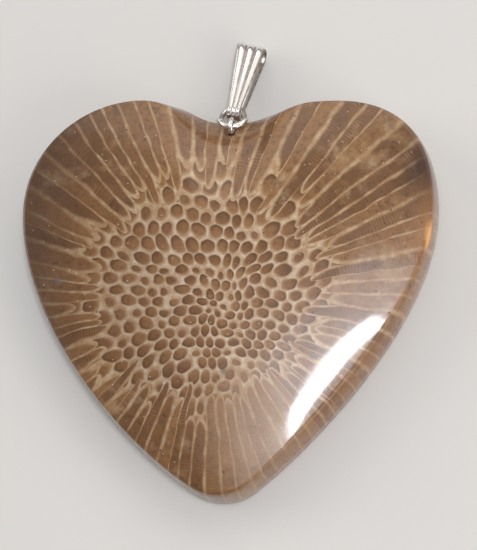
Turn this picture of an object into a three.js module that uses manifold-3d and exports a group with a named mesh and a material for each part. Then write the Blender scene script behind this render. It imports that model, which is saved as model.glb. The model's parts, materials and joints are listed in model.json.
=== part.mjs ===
// A heart-shaped pendant cut and polished from Favosites coral, with its silver fittings:
// an eye pin glued into the notch, a round jump ring through the eye, and a fluted bail
// folded round the ring. Millimetres, +Z up. The pendant lies on its flat back. The origin
// is the middle of that back, +Y points to the bail and +X to the right-hand lobe.
import * as THREE from "three";
import { mergeVertices } from "three/addons/utils/BufferGeometryUtils.js";
import Module from "manifold-3d";

const wasm = await Module();
wasm.setup();

const radians = THREE.MathUtils.degToRad;

// ---- driving dimensions ----

// The heart's outline: notch, lobe, flank and round tip. It was ground by hand, so its two
// halves differ a little.
const HEART = { notchY: 21.35, widestX: 25.08, tipX: 0.23, tipY: -24.46, tipRadius: 6.08 };
const RIGHT_HALF = {
  side: 1,
  notchHandle: 5.19,
  lobeInnerHandle: 8.49,
  lobeTopX: 12.84,
  lobeTopY: 23.48,
  lobeOuterHandle: 7.79,
  widestUpperHandle: 8.32,
  widestY: 10.57,
  widestLowerHandle: 13.6,
  flankHandle: 7.49,
  tipTurn: radians(38.4),
};
const LEFT_HALF = {
  side: -1,
  notchHandle: 4.98,
  lobeInnerHandle: 6.35,
  lobeTopX: 10.67,
  lobeTopY: 24.08,
  lobeOuterHandle: 7.82,
  widestUpperHandle: 7.62,
  widestY: 10.24,
  widestLowerHandle: 13.45,
  flankHandle: 10.66,
  tipTurn: radians(30.4),
};
const OUTLINE_STEPS_PER_SIDE = 66;

// The stone's section, from the flat back up.
const BACK_CHAMFER = 0.6;
const GIRDLE_TOP = 2.6;
const BEVEL_TOP = 5.8;
const DOME_TOP = 7.7;
const DOME_CENTRE_Y = 1;
const DOME_POWER = 2.2;
const DOME_ROUND_RADIUS = 20;
const DOME_RINGS = [0.88, 0.72, 0.54, 0.34, 0.15];

// The bevel between the girdle and the dome: narrow and steep round the heart, wider where
// the lower right flank was ground away, and a broad slope down into the notch.
const BEVEL = { width: 0.6, power: 2.4, steps: 5 };
const LOW_RIGHT = { angle: radians(-38), reach: radians(62), extraWidth: 0.65 };
const NOTCH = { angle: radians(90), reach: radians(24), extraWidth: 3.4, lessPower: 1.0 };

// The eye pin: a small upright loop, half sunk in a sawn slot, on a shank glued in a hole
// that slopes down into the stone.
const EYE = { x: 0.41, y: 20.47, z: 4.4, loopRadius: 0.85, wireRadius: 0.28 };
const SHANK = { radius: 0.3, length: 4.5, slope: radians(25) };
const GLUE_GAP = 0.25;

// The jump ring hangs from the eye and droops over the edge of the stone.
const RING = { radius: 1.53, wireRadius: 0.37, droop: radians(30) };

// The bail: one strip of sheet, folded into a loop that is narrow where it holds the jump
// ring and wide at the top, with three flutes pressed along it. It hangs slack, so that the
// wire is a little above the middle of the foot.
const BAIL = {
  sheet: 0.3,
  footRadius: 1.08,
  topRadius: 1.32,
  length: 7.6,
  footHalfWidth: 0.74,
  taper: 0.115,
  flutes: 3,
  fluteAtFoot: 0.08,
  fluteAtTop: 0.25,
  foldSkew: radians(5),
  aroundRing: radians(6),
  slack: 0.26,
  yaw: radians(-11),
  clearOfFloor: 0.03,
};
const BAIL_STEPS = { leaf: 3, topArc: 9, footArc: 7, perFlute: 4 };

// ---- solids ----

// A BufferGeometry as a manifold-3d solid.
function toSolid(geometry) {
  const bare = geometry.clone();
  bare.deleteAttribute("normal");
  bare.deleteAttribute("uv");
  const merged = mergeVertices(bare, 1e-4);
  return new wasm.Manifold(
    new wasm.Mesh({
      numProp: 3,
      vertProperties: merged.getAttribute("position").array,
      triVerts: new Uint32Array(merged.index.array),
    }),
  );
}

// A manifold-3d solid as a BufferGeometry with flat faces.
function toGeometry(solid) {
  const mesh = solid.getMesh();
  const indexed = new THREE.BufferGeometry();
  indexed.setAttribute("position", new THREE.BufferAttribute(mesh.vertProperties, 3));
  indexed.setIndex(new THREE.BufferAttribute(mesh.triVerts, 1));
  const flat = indexed.toNonIndexed();
  flat.computeVertexNormals();
  return flat;
}

// An indexed geometry from points and triangles.
function fromTriangles(points, triangles) {
  const geometry = new THREE.BufferGeometry().setFromPoints(points);
  geometry.setIndex(triangles.flat());
  return geometry;
}

// ---- the stone ----

// Evenly spaced points up one half of the heart, from the tip to the notch.
function halfOutline(half) {
  const { notchY, widestX, tipX, tipY, tipRadius } = HEART;
  const { widestY, lobeTopX, lobeTopY, tipTurn } = half;
  const tipCentre = new THREE.Vector2(half.side * tipX, tipY + tipRadius);
  const tipEnd = new THREE.Vector2(
    tipCentre.x + tipRadius * Math.sin(tipTurn),
    tipCentre.y - tipRadius * Math.cos(tipTurn),
  );
  const flankDirection = new THREE.Vector2(Math.cos(tipTurn), Math.sin(tipTurn));
  const widest = new THREE.Vector2(widestX, widestY);
  const lobeTop = new THREE.Vector2(lobeTopX, lobeTopY);

  const down = -Math.PI / 2;
  const curve = new THREE.CurvePath();
  curve.add(
    new THREE.EllipseCurve(tipCentre.x, tipCentre.y, tipRadius, tipRadius, down, down + tipTurn),
  );
  curve.add(
    new THREE.CubicBezierCurve(
      tipEnd,
      tipEnd.clone().addScaledVector(flankDirection, half.flankHandle),
      new THREE.Vector2(widestX, widestY - half.widestLowerHandle),
      widest,
    ),
  );
  curve.add(
    new THREE.CubicBezierCurve(
      widest,
      new THREE.Vector2(widestX, widestY + half.widestUpperHandle),
      new THREE.Vector2(lobeTopX + half.lobeOuterHandle, lobeTopY),
      lobeTop,
    ),
  );
  curve.add(
    new THREE.CubicBezierCurve(
      lobeTop,
      new THREE.Vector2(lobeTopX - half.lobeInnerHandle, lobeTopY),
      new THREE.Vector2(half.notchHandle, notchY),
      new THREE.Vector2(0, notchY),
    ),
  );
  return curve.getSpacedPoints(OUTLINE_STEPS_PER_SIDE).map((p) => p.set(half.side * p.x, p.y));
}

// Points round the whole heart, counter-clockwise from the tip.
function heartOutline() {
  const leftFromNotch = halfOutline(LEFT_HALF).reverse();
  return [...halfOutline(RIGHT_HALF), ...leftFromNotch.slice(1, -1)];
}

// The inward unit normal at each point of a counter-clockwise outline.
function inwardNormals(outline) {
  const count = outline.length;
  return outline.map((_, i) => {
    const before = outline[(i + count - 1) % count];
    const after = outline[(i + 1) % count];
    const along = after.clone().sub(before).normalize();
    return new THREE.Vector2(-along.y, along.x);
  });
}

// 1 at the middle of a zone of the outline, falling smoothly to 0 at its reach.
function nearness(angle, zone) {
  const away = Math.abs(Math.atan2(Math.sin(angle - zone.angle), Math.cos(angle - zone.angle)));
  return away < zone.reach ? (1 + Math.cos((Math.PI * away) / zone.reach)) / 2 : 0;
}

// The uncut stone: rings of points from the back's edge up over the bevel and the dome.
function stoneBlank() {
  const outline = heartOutline();
  const normals = inwardNormals(outline);
  const bevels = outline.map((p) => {
    const angle = Math.atan2(p.y, p.x);
    const notch = nearness(angle, NOTCH);
    return {
      width: BEVEL.width + LOW_RIGHT.extraWidth * nearness(angle, LOW_RIGHT) + NOTCH.extraWidth * notch,
      power: BEVEL.power - NOTCH.lessPower * notch,
    };
  });
  const inset = (i, distance, z) =>
    new THREE.Vector3(outline[i].x + normals[i].x * distance, outline[i].y + normals[i].y * distance, z);

  const rings = [
    outline.map((_, i) => inset(i, BACK_CHAMFER, 0)),
    outline.map((_, i) => inset(i, 0, BACK_CHAMFER)),
    outline.map((_, i) => inset(i, 0, GIRDLE_TOP)),
  ];
  for (let step = 1; step <= BEVEL.steps; step++) {
    const share = 1 - Math.cos((Math.PI / 2) * (step / BEVEL.steps));
    rings.push(
      bevels.map(({ width, power }, i) => {
        const rise = 1 - (1 - share) ** power;
        return inset(i, width * share, GIRDLE_TOP + (BEVEL_TOP - GIRDLE_TOP) * rise);
      }),
    );
  }
  // The dome's level lines start heart-shaped at the bevel and turn round toward the top.
  const domeEdge = rings.at(-1);
  const domeCentre = new THREE.Vector3(0, DOME_CENTRE_Y, BEVEL_TOP);
  for (const scale of DOME_RINGS) {
    const z = BEVEL_TOP + (DOME_TOP - BEVEL_TOP) * (1 - scale ** DOME_POWER);
    rings.push(
      domeEdge.map((p) => {
        const spoke = p.clone().sub(domeCentre);
        const reach = THREE.MathUtils.lerp(spoke.length(), DOME_ROUND_RADIUS, 1 - scale);
        return domeCentre.clone().addScaledVector(spoke.normalize(), reach * scale).setZ(z);
      }),
    );
  }

  const count = outline.length;
  const points = [...rings.flat(), new THREE.Vector3(0, 0, 0), domeCentre.clone().setZ(DOME_TOP)];
  const backCentre = rings.length * count;
  const topCentre = backCentre + 1;
  const lastRing = (rings.length - 1) * count;
  const triangles = [];
  for (let i = 0; i < count; i++) {
    const next = (i + 1) % count;
    triangles.push([backCentre, next, i]);
    triangles.push([topCentre, lastRing + i, lastRing + next]);
    for (let ring = 0; ring < rings.length - 1; ring++) {
      const low = ring * count;
      const high = low + count;
      triangles.push([low + i, low + next, high + next]);
      triangles.push([low + i, high + next, high + i]);
    }
  }
  return toSolid(fromTriangles(points, triangles));
}

// A cylinder along the shank's line, from one distance to another from the middle of the eye.
function alongShank(radius, from, to, sides) {
  const cylinder = new THREE.CylinderGeometry(radius, radius, to - from, sides);
  cylinder.translate(0, -(from + to) / 2, 0);
  cylinder.rotateX(SHANK.slope);
  cylinder.translate(EYE.x, EYE.y, EYE.z);
  return toSolid(cylinder);
}

function stoneGeometry() {
  const eyeReach = EYE.loopRadius + EYE.wireRadius;
  const slot = new THREE.CylinderGeometry(
    eyeReach + GLUE_GAP,
    eyeReach + GLUE_GAP,
    2 * (EYE.wireRadius + GLUE_GAP),
    28,
  );
  slot.rotateZ(Math.PI / 2);
  slot.translate(EYE.x, EYE.y, EYE.z);
  const hole = alongShank(
    SHANK.radius + GLUE_GAP,
    EYE.loopRadius,
    EYE.loopRadius + SHANK.length + GLUE_GAP,
    16,
  );
  return toGeometry(stoneBlank().subtract(toSolid(slot)).subtract(hole));
}

// ---- the silver fittings ----

function eyePinGeometry() {
  const loop = new THREE.TorusGeometry(EYE.loopRadius, EYE.wireRadius, 8, 20);
  loop.rotateY(Math.PI / 2);
  loop.translate(EYE.x, EYE.y, EYE.z);
  const shank = alongShank(SHANK.radius, EYE.loopRadius, EYE.loopRadius + SHANK.length, 12);
  return toGeometry(toSolid(loop).add(shank));
}

// The jump ring in a frame whose origin is the middle of its lowest wire, in the eye.
function jumpRingGeometry() {
  const ring = new THREE.TorusGeometry(RING.radius, RING.wireRadius, 10, 36);
  ring.translate(0, RING.radius, 0);
  return ring;
}

// The stations round the side of the bail's loop, each as a place and the way out from it.
// Their x runs up the bail from the middle of its foot and their y out of its front.
function bailStations() {
  const { footRadius, topRadius, length } = BAIL;
  const lean = Math.asin((topRadius - footRadius) / length);
  const arc = (centreY, radius, from, to, steps) =>
    Array.from({ length: steps + 1 }, (_, i) => {
      const angle = from + ((to - from) * i) / steps;
      const out = new THREE.Vector2(Math.sin(angle), Math.cos(angle));
      return { place: new THREE.Vector2(centreY + radius * out.x, radius * out.y), out };
    });
  const topArc = arc(length, topRadius, -lean, Math.PI + lean, BAIL_STEPS.topArc);
  const footArc = arc(0, footRadius, Math.PI + lean, 2 * Math.PI - lean, BAIL_STEPS.footArc);
  const leaf = (from, to) =>
    Array.from({ length: BAIL_STEPS.leaf - 1 }, (_, i) => ({
      place: from.place.clone().lerp(to.place, (i + 1) / BAIL_STEPS.leaf),
      out: from.out,
    }));
  return [
    ...topArc,
    ...leaf(topArc.at(-1), footArc[0]),
    ...footArc,
    ...leaf(footArc.at(-1), topArc[0]),
  ];
}

// The bail in a frame whose x axis is the wire that it hangs on.
function bailGeometry() {
  const stations = bailStations();
  const across = BAIL.flutes * BAIL_STEPS.perFlute + 1;
  const reach = BAIL.length + BAIL.topRadius;
  const surface = (depth) =>
    stations.map(({ place, out }) => {
      const upShare = THREE.MathUtils.clamp(place.x / reach, 0, 1);
      const halfWidth = BAIL.footHalfWidth + BAIL.taper * Math.max(place.x, 0);
      const flute = THREE.MathUtils.lerp(BAIL.fluteAtFoot, BAIL.fluteAtTop, upShare);
      return Array.from({ length: across }, (_, k) => {
        const share = (2 * k) / (across - 1) - 1;
        const ridge = Math.abs(Math.cos((BAIL.flutes * Math.PI * share) / 2));
        const lift = flute * ridge - depth;
        const x = share * halfWidth;
        const skew = x * Math.tan(BAIL.foldSkew) * upShare;
        return new THREE.Vector3(x, place.x + out.x * lift - skew, place.y + out.y * lift);
      });
    });
  const outer = surface(0);
  const inner = surface(BAIL.sheet);

  const count = stations.length;
  const last = across - 1;
  const triangles = [];
  const quad = (a, b, c, d) => triangles.push([a, b, c], [a, c, d]);
  for (let i = 0; i < count; i++) {
    const out = i * across;
    const nextOut = ((i + 1) % count) * across;
    const within = out + count * across;
    const nextWithin = nextOut + count * across;
    for (let k = 0; k < last; k++) {
      quad(out + k, out + k + 1, nextOut + k + 1, nextOut + k);
      quad(within + k, nextWithin + k, nextWithin + k + 1, within + k + 1);
    }
    quad(out, nextOut, nextWithin, within);
    quad(out + last, within + last, nextWithin + last, nextOut + last);
  }
  const bail = toSolid(fromTriangles([...outer.flat(), ...inner.flat()], triangles));
  return toGeometry(bail.translate(0, -BAIL.slack, 0));
}

// ---- the finishes ----

const coral = new THREE.MeshStandardMaterial({ color: 0x8d6f4c, roughness: 0.18, metalness: 0 });
const silver = new THREE.MeshStandardMaterial({ color: 0xcfccc8, roughness: 0.2, metalness: 1 });

// ---- the pendant ----

function part(name, geometry, material) {
  const mesh = new THREE.Mesh(geometry, material);
  mesh.name = name;
  return mesh;
}

const pendant = new THREE.Group();
pendant.add(part("stone", stoneGeometry(), coral));
pendant.add(part("eye_pin", eyePinGeometry(), silver));

// The jump ring turns on the middle of the eye.
const ringMount = new THREE.Group();
ringMount.position.set(EYE.x, EYE.y, EYE.z);
ringMount.rotation.x = -RING.droop;
ringMount.add(part("jump_ring", jumpRingGeometry(), silver));
pendant.add(ringMount);

// The bail turns on the far side of the ring, a little to the right of its middle, and its
// wide end rests on the floor.
const seatX = EYE.x + RING.radius * Math.sin(BAIL.aroundRing);
const seatAlong = RING.radius * (1 + Math.cos(BAIL.aroundRing));
const seatY = EYE.y + seatAlong * Math.cos(RING.droop);
const seatZ = EYE.z - seatAlong * Math.sin(RING.droop);
const crest = BAIL.topRadius + BAIL.fluteAtTop + BAIL.clearOfFloor;
const bailDroop = Math.asin((seatZ - crest) / (BAIL.length - BAIL.slack));

const bailMount = new THREE.Group();
bailMount.position.set(seatX, seatY, seatZ);
bailMount.rotation.z = BAIL.yaw;
const bail = part("bail", bailGeometry(), silver);
bail.rotation.x = -bailDroop;
bailMount.add(bail);
pendant.add(bailMount);

export default pendant;
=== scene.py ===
"""The looks of a heart pendant cut from Favosites coral, with its silver eye pin, ring and bail.

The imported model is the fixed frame, in metres. The classes hold their sizes in millimetres, in
the same frame: the origin is the middle of the stone's flat back, +Z comes out of its polished
face and +Y points to the bail.
"""

import json
import logging
import math
from dataclasses import dataclass, field
from enum import Enum
from typing import Iterable, Optional, Union

import bmesh
import bpy
import numpy as np
from mathutils import Matrix, Vector, noise


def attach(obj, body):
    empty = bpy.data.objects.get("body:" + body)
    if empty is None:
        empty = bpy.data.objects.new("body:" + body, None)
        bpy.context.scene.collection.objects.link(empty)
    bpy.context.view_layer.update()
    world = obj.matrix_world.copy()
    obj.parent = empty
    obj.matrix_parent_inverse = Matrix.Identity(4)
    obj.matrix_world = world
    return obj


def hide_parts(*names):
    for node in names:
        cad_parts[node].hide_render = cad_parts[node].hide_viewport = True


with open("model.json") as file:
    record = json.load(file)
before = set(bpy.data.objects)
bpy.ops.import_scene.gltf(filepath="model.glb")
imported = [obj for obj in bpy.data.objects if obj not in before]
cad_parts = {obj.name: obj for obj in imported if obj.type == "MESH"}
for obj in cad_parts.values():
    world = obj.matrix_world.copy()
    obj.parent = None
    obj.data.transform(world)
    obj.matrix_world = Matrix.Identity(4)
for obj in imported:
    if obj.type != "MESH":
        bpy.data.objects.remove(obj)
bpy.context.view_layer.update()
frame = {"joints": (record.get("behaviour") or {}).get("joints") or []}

log = logging.getLogger("pendant")

MM = 0.001
FULL_TURN = 2.0 * math.pi
LEVEL = (1.0, 1.0, 0.0)
HALVES = (0.5, 0.5, 0.5)

Triple = tuple[float, float, float]
Colour = tuple[float, float, float, float]
Socket = bpy.types.NodeSocket
Value = Union[Socket, float, tuple, Vector]


def srgb(red: float, green: float, blue: float) -> Colour:
    """A colour given as on a screen, in linear light.

    Args:
        red: Red from 0 to 255.
        green: Green from 0 to 255.
        blue: Blue from 0 to 255.

    Returns:
        The linear red, green, blue and an alpha of 1.
    """

    def linear(channel: float) -> float:
        """One channel from screen to linear light."""
        share = channel / 255.0
        return share / 12.92 if share <= 0.04045 else ((share + 0.055) / 1.055) ** 2.4

    return (linear(red), linear(green), linear(blue), 1.0)


def toward(heading: float, tilt: float = 90.0) -> Vector:
    """The way to something that stands round the stone or hangs over it.

    Args:
        heading: Its heading in degrees, counter-clockwise from +X.
        tilt: How far it leans from straight overhead, in degrees.

    Returns:
        The way there, one unit long.
    """
    turn, lean = math.radians(heading), math.radians(tilt)
    return Vector((math.sin(lean) * math.cos(turn), math.sin(lean) * math.sin(turn), math.cos(lean)))


# ---- meshes ----


def grid_faces(rows: int, columns: int, wrap_rows: bool) -> list[tuple]:
    """The quads of a tube whose points are listed ring by ring.

    Args:
        rows: How many rings of points there are.
        columns: How many points a ring has.
        wrap_rows: Whether the last ring joins the first.

    Returns:
        The corner numbers of each quad.
    """
    faces = []
    for row in range(rows if wrap_rows else rows - 1):
        low = row * columns
        high = ((row + 1) % rows) * columns
        for column in range(columns):
            following = (column + 1) % columns
            faces.append((low + column, low + following, high + following, high + column))
    return faces


def capped_faces(rows: int, columns: int) -> list[tuple]:
    """The faces of a tube that is closed at both ends.

    Args:
        rows: How many rings of points there are.
        columns: How many points a ring has.

    Returns:
        The corner numbers of each face.
    """
    ends = [tuple(range(columns)), tuple(range((rows - 1) * columns, rows * columns))]
    return grid_faces(rows, columns, False) + ends


def ring_points(radius: float, wires: np.ndarray, turns: np.ndarray, sides: int) -> np.ndarray:
    """The points of a round wire ring in the XY plane, section by section.

    Args:
        radius: The radius of the wire's middle line.
        wires: The wire's own radius at each section.
        turns: The heading of each section, in radians.
        sides: How many points go round the wire.

    Returns:
        One row of x, y and z for each point.
    """
    side = np.linspace(0.0, FULL_TURN, sides, endpoint=False)[None, :]
    turn, wire = turns[:, None], wires[:, None]
    out = radius + wire * np.cos(side)
    return np.stack([out * np.cos(turn), out * np.sin(turn), wire * np.sin(side)], -1).reshape(-1, 3)


def rod_points(radius: float, heights: Iterable[float], sides: int) -> np.ndarray:
    """The points of a rod along Z, ring by ring.

    Args:
        radius: The rod's radius.
        heights: The height of each ring.
        sides: How many points a ring has.

    Returns:
        One row of x, y and z for each point.
    """
    turn = np.linspace(0.0, FULL_TURN, sides, endpoint=False)
    circle = np.column_stack([radius * np.cos(turn), radius * np.sin(turn)])
    return np.vstack([np.column_stack([circle, np.full(sides, height)]) for height in heights])


def placed(points: np.ndarray, matrix: Matrix) -> np.ndarray:
    """Points moved by a matrix.

    Args:
        points: One row of x, y and z for each point.
        matrix: A 4 by 4 matrix in the same units.

    Returns:
        The moved points.
    """
    m = np.array(matrix)
    return points @ m[:3, :3].T + m[:3, 3]


def smooth(mesh: bpy.types.Mesh, crease: float) -> None:
    """Shades a mesh smooth, apart from edges sharper than an angle.

    Args:
        mesh: The mesh to shade.
        crease: The angle in degrees past which an edge stays sharp.
    """
    mesh.polygons.foreach_set("use_smooth", [True] * len(mesh.polygons))
    mesh.set_sharp_from_angle(angle=math.radians(crease))


def make_object(
    name: str, points: np.ndarray, faces: list[tuple], crease: float = 30.0
) -> bpy.types.Object:
    """A mesh object in metres from points in millimetres, smooth but for its sharp edges.

    Args:
        name: The object's name.
        points: One row of x, y and z for each point, in millimetres.
        faces: The corner numbers of each face.
        crease: The angle in degrees past which an edge stays sharp.

    Returns:
        The new object, linked to the scene.
    """
    mesh = bpy.data.meshes.new(name)
    mesh.from_pydata((np.asarray(points) * MM).tolist(), [], faces)
    mesh.validate()
    turned = bmesh.new()
    turned.from_mesh(mesh)
    bmesh.ops.recalc_face_normals(turned, faces=turned.faces)
    turned.to_mesh(mesh)
    turned.free()
    smooth(mesh, crease)
    made = bpy.data.objects.new(name, mesh)
    bpy.context.scene.collection.objects.link(made)
    return made


def hinge(name: str) -> tuple[Vector, Vector]:
    """Where a joint of the frame turns.

    Args:
        name: The joint's name.

    Returns:
        A point on the joint's axis in millimetres, and the axis.
    """
    joint = next(j for j in frame["joints"] if j["name"] == name)
    return Vector(joint["pos_m"]) / MM, Vector(joint["axis"])


# ---- shader nodes ----


@dataclass
class Bench:
    """Adds nodes to one tree and wires them up.

    Attributes:
        tree: The node tree of a material, world or group.
    """

    tree: bpy.types.NodeTree

    def feed(self, inputs: bpy.types.NodeInputs, values: dict[Union[int, str], Value]) -> None:
        """Links inputs to outputs, or sets their values.

        Args:
            inputs: A node's inputs.
            values: For an input's name or place, the output, number, vector or colour it gets.
        """
        for name, value in values.items():
            if isinstance(value, bpy.types.NodeSocket):
                self.tree.links.new(value, inputs[name])
            else:
                inputs[name].default_value = value

    def add(
        self,
        kind: str,
        values: Optional[dict[Union[int, str], Value]] = None,
        **settings: Union[str, bpy.types.NodeTree],
    ) -> bpy.types.NodeOutputs:
        """Adds a node.

        Args:
            kind: The node's type name without its ShaderNode prefix.
            values: What its inputs get, by name or place.
            **settings: Values for the node's own properties.

        Returns:
            The node's outputs.
        """
        node = self.tree.nodes.new("ShaderNode" + kind)
        for name, value in settings.items():
            setattr(node, name, value)
        self.feed(node.inputs, values or {})
        return node.outputs

    def math(self, operation: str, *numbers: Value) -> Socket:
        """The result of a Math node such as MAXIMUM."""
        return self.add("Math", dict(enumerate(numbers)), operation=operation)[0]

    def plus(self, first: Value, second: Value) -> Socket:
        """The sum of two numbers."""
        return self.math("ADD", first, second)

    def minus(self, first: Value, second: Value) -> Socket:
        """The second number taken from the first."""
        return self.math("SUBTRACT", first, second)

    def times(self, first: Value, second: Value, more: Value = 0.0) -> Socket:
        """The product of two numbers, with a third added to it."""
        return self.math("MULTIPLY_ADD", first, second, more)

    def over(self, first: Value, second: Value) -> Socket:
        """The first number divided by the second."""
        return self.math("DIVIDE", first, second)

    def vector(self, operation: str, *vectors: Value) -> Socket:
        """The vector that comes out of a Vector Math node such as NORMALIZE."""
        return self.add("VectorMath", dict(enumerate(vectors)), operation=operation)["Vector"]

    def scaled(self, vector: Value, amount: Value) -> Socket:
        """A vector made longer or shorter."""
        return self.add("VectorMath", {0: vector, "Scale": amount}, operation="SCALE")["Vector"]

    def length(self, vector: Value) -> Socket:
        """How long a vector is."""
        return self.add("VectorMath", {0: vector}, operation="LENGTH")["Value"]

    def dot(self, first: Value, second: Value) -> Socket:
        """The dot product of two vectors."""
        return self.add("VectorMath", {0: first, 1: second}, operation="DOT_PRODUCT")["Value"]

    def parts(self, vector: Value) -> bpy.types.NodeOutputs:
        """The X, Y and Z of a vector."""
        return self.add("SeparateXYZ", {0: vector})

    def channels(self, colour: Value) -> bpy.types.NodeOutputs:
        """The three channels of a colour."""
        return self.add("SeparateColor", {0: colour})

    def step(
        self, value: Value, low: Value, high: Value, to_low: Value = 0.0, to_high: Value = 1.0
    ) -> Socket:
        """A smooth step of a value between two edges, from one result to another."""
        edges = {"Value": value, "From Min": low, "From Max": high, "To Min": to_low, "To Max": to_high}
        return self.add("MapRange", edges, interpolation_type="SMOOTHSTEP")["Result"]

    def within(self, edge: Value, size: Value, softness: Value) -> Socket:
        """1 where an edge value is below a size and 0 above it, with a soft border."""
        return self.step(edge, self.plus(size, softness), self.minus(size, softness))

    def blend(self, factor: Value, first: Value, second: Value, mode: str = "MIX") -> Socket:
        """Two colours mixed, by how much of the second shows."""
        values = {0: factor, 6: first, 7: second}
        return self.add("Mix", values, data_type="RGBA", blend_type=mode)[2]

    def choose(self, factor: Value, first: Value, second: Value) -> Socket:
        """Two numbers mixed, by how much of the second shows."""
        return self.add("Mix", {0: factor, 2: first, 3: second}, data_type="FLOAT")[0]

    def pick(self, factor: Value, first: Value, second: Value) -> Socket:
        """Two vectors mixed, by how much of the second shows."""
        return self.add("Mix", {0: factor, 4: first, 5: second}, data_type="VECTOR")[1]

    def noise(self, where: Value, scale: Value, detail: float = 2.0, roughness: float = 0.5) -> Socket:
        """The grey of a noise texture with so many lumps to a unit of length."""
        values = {"Vector": where, "Scale": scale, "Detail": detail, "Roughness": roughness}
        return self.add("TexNoise", values)[0]

    def sway(self, where: Value, scale: float, amount: Triple) -> Socket:
        """A push that changes from place to place, with its strength along X, Y and Z."""
        lumps = self.add("TexNoise", {"Vector": where, "Scale": scale, "Detail": 1.0})["Color"]
        return self.vector("MULTIPLY", self.vector("SUBTRACT", lumps, HALVES), amount)

    def bump(self, height: Socket) -> Socket:
        """The normal of a surface with a height given in millimetres."""
        return self.add("Bump", {"Distance": MM, "Height": height})["Normal"]

    def millimetres(self) -> Socket:
        """The place on the object, in millimetres in the frame."""
        return self.scaled(self.add("TexCoord")["Object"], 1.0 / MM)


def new_group(name: str, takes: dict[str, Optional[float]], gives: Iterable[str]) -> tuple:
    """An empty shader node group.

    Args:
        name: The group's name.
        takes: The value that each input starts with, or None for a vector.
        gives: The names of its outputs, which are all numbers.

    Returns:
        The group, a bench to fill it with, what it takes and what it gives.
    """
    group = bpy.data.node_groups.new(name, "ShaderNodeTree")
    for label, value in takes.items():
        kind = "NodeSocketVector" if value is None else "NodeSocketFloat"
        socket = group.interface.new_socket(name=label, in_out="INPUT", socket_type=kind)
        if value is not None:
            socket.default_value = value
    for label in gives:
        group.interface.new_socket(name=label, in_out="OUTPUT", socket_type="NodeSocketFloat")
    entry = group.nodes.new("NodeGroupInput")
    leave = group.nodes.new("NodeGroupOutput")
    return group, Bench(group), entry.outputs, leave.inputs


def new_material(name: str) -> tuple[bpy.types.Material, Bench, bpy.types.NodeInputs]:
    """A material with a bare shader.

    Args:
        name: The material's name.

    Returns:
        The material, a bench to fill it with and the shader's inputs.
    """
    material = bpy.data.materials.new(name)
    material.use_nodes = True
    material.node_tree.nodes.clear()
    bench = Bench(material.node_tree)
    shader = material.node_tree.nodes.new("ShaderNodeBsdfPrincipled")
    bench.add("OutputMaterial", {"Surface": shader.outputs["BSDF"]})
    return material, bench, shader.inputs


@dataclass(frozen=True)
class Mottle:
    """Irregular soft patches.

    Attributes:
        closeness: How many there are to a millimetre.
        detail: How many finer layers they have.
        roughness: How strong the finer layers are.
        low: The noise at which a patch starts.
        high: The noise at which it is full.
        strength: How strong a full patch is.
    """

    closeness: float
    detail: float
    roughness: float
    low: float
    high: float
    strength: float = 1.0

    def mask(self, bench: Bench, place: Socket) -> Socket:
        """How strong the patches are at each place."""
        grey = bench.noise(place, self.closeness, self.detail, self.roughness)
        return bench.step(grey, self.low, self.high, 0.0, self.strength)


@dataclass(frozen=True)
class Patch:
    """One soft round or oval patch, in millimetres.

    Attributes:
        middle: Its middle.
        reach: How far out it fades away.
        core: How far out it stays at full strength.
        strength: Its full strength.
        squash: What distances along X, Y and Z count for.
        ragged: How far its edge wanders.
    """

    middle: Triple
    reach: float
    core: float
    strength: float
    squash: Triple = (1.0, 1.0, 1.0)
    ragged: float = 0.0

    def mask(self, bench: Bench, place: Socket) -> Socket:
        """How strong the patch is at each place.

        Args:
            bench: The material's bench.
            place: The place in millimetres.

        Returns:
            The mask.
        """
        offset = bench.vector("SUBTRACT", place, self.middle)
        away = bench.length(bench.vector("MULTIPLY", offset, self.squash))
        if self.ragged:
            away = bench.times(bench.noise(place, 0.8, 3.0, 0.6), self.ragged, away)
        return bench.step(away, self.reach, self.core, 0.0, self.strength)


@dataclass(frozen=True)
class Fade:
    """A change that sets in along one direction.

    Attributes:
        direction: The direction.
        start: Where it starts, measured along the direction in millimetres.
        end: Where it is full.
        strength: Its full strength.
    """

    direction: Triple
    start: float
    end: float
    strength: float = 1.0

    def mask(self, bench: Bench, place: Socket) -> Socket:
        """How strong the change is at each place."""
        return bench.step(bench.dot(place, self.direction), self.start, self.end, 0.0, self.strength)


@dataclass(frozen=True)
class Specks:
    """Scattered dots.

    Attributes:
        closeness: How many there would be to a millimetre, were all of them kept.
        left_out: The share that is left out.
        size: A dot's radius, as a share of their spacing.
        strength: How strong a dot is.
    """

    closeness: float
    left_out: float
    size: float
    strength: float

    def mask(self, bench: Bench, place: Socket) -> Socket:
        """1 inside the dots.

        Args:
            bench: The material's bench.
            place: The place in millimetres.

        Returns:
            The mask.
        """
        cells = {"Vector": place, "Scale": self.closeness}
        scatter = bench.add("TexVoronoi", cells, voronoi_dimensions="3D", feature="F1")
        kept = bench.math("GREATER_THAN", bench.channels(scatter["Color"])[1], self.left_out)
        return bench.times(kept, bench.step(scatter["Distance"], self.size, self.size * 0.5))


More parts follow.
